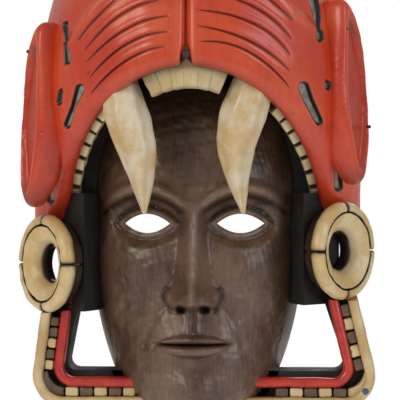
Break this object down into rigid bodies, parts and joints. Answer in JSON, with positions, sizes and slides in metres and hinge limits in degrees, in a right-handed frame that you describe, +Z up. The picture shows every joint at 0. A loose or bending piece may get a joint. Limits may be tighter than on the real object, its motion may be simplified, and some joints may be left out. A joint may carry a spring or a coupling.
{
  "type": "carved big cat warrior mask",
  "caption": "Carved and painted wooden wall mask: a calm face in a big cat's open mouth, with fangs, dished ears, ear spools and a toothed lower jaw.",
  "frame": {"origin": "mouth of the hang hole, on the back plane at the crown", "axes": "+X the viewer's right, +Y into the wall, +Z up; the face looks along -Y"},
  "size_m": [0.2644, 0.15, 0.393],
  "materials": {
    "red_paint": "satin varnish over red paint",
    "cream_paint": "satin varnish over cream paint",
    "brown_paint": "satin brown paint",
    "dark_stain": "near-black stain, matte",
    "walnut_stain": "waxed walnut stain",
    "gum_paint": "satin red paint",
    "bare_wood": "bare wood",
    "nail_iron": "dark iron",
    "blue_paint": "satin blue paint",
    "black_paint": "satin black paint",
    "eye_paint": "glossy yellow and black paint"
  },
  "bodies": {
    "root": {"headdress": "red_paint", "left_ear": "red_paint", "right_ear": "red_paint", "nose_pad": "black_paint", "left_eye": "eye_paint", "right_eye": "eye_paint", "ear_nails": "nail_iron", "left_fang": "cream_paint", "right_fang": "cream_paint", "front_teeth": "cream_paint", "left_side_teeth": "cream_paint", "right_side_teeth": "cream_paint", "mouth_lining": "dark_stain", "left_cheek_block": "dark_stain", "right_cheek_block": "dark_stain", "left_spool_ring": "cream_paint", "right_spool_ring": "cream_paint", "left_spool_disc": "cream_paint", "right_spool_disc": "cream_paint", "jaw_frame": "dark_stain", "corner_peg": "blue_paint", "jaw_lip": "cream_paint", "jaw_gum": "gum_paint", "jaw_cream_teeth": "cream_paint", "jaw_brown_teeth": "brown_paint", "face": "walnut_stain", "ear_dowels": "bare_wood", "fang_dowels": "bare_wood", "face_dowels": "bare_wood", "jaw_dowels": "bare_wood", "spool_dowels": "bare_wood"}
  },
  "joints": []
}
